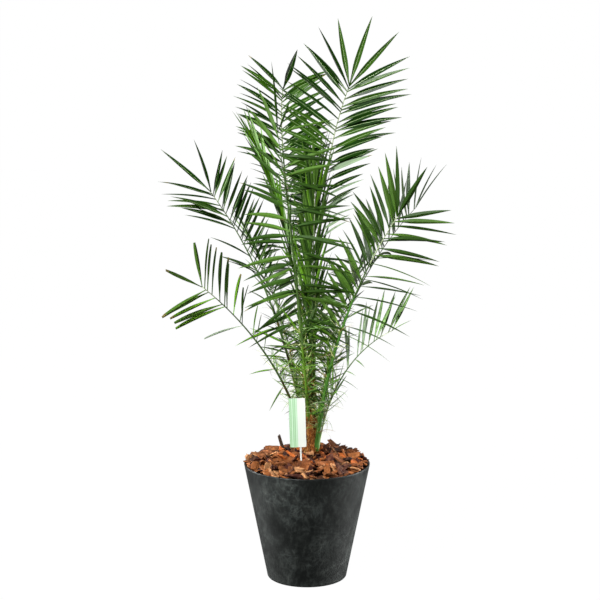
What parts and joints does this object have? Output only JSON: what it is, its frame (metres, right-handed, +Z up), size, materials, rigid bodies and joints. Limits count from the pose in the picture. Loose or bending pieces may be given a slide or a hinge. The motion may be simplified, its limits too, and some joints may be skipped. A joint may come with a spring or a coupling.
{
  "type": "potted senegal date palm",
  "caption": "Young multi-frond feather palm in a round tapered planter, with a bark-covered soil mound and a bare plant label.",
  "frame": {"origin": "middle of the planter's flat underside, on the surface it stands on", "axes": "+Z up, -Y towards the side the plant is seen from, +X to the right seen from there"},
  "size_m": [0.85, 0.9329, 1.6349],
  "materials": {
    "planter": "charcoal moulded composite with faint pale marbling, satin",
    "soil": "dark moist potting soil",
    "bark": "red-brown pine bark chips, matte",
    "stem_fibre": "brown woven leaf-base fibre, matte",
    "dead_wood": "dark dry cut stem",
    "label_card": "white and mint green plastic card, satin",
    "leaf_green": "dark green leathery leaflets, satin"
  },
  "bodies": {
    "root": {"pot": "planter", "soil": "soil", "bark_mulch": "bark", "trunk": "stem_fibre", "cut_stub": "dead_wood", "plant_label": "label_card", "frond_tall_right": "leaf_green", "frond_tall_left": "leaf_green", "frond_front": "leaf_green", "frond_left_upper": "leaf_green", "frond_left_lower": "leaf_green", "frond_right_front": "leaf_green", "frond_right_back": "leaf_green", "frond_right_lower": "leaf_green", "frond_young": "leaf_green", "frond_heart": "leaf_green", "frond_back_tall": "leaf_green", "frond_back_right": "leaf_green", "frond_back_left": "leaf_green"}
  },
  "joints": []
}
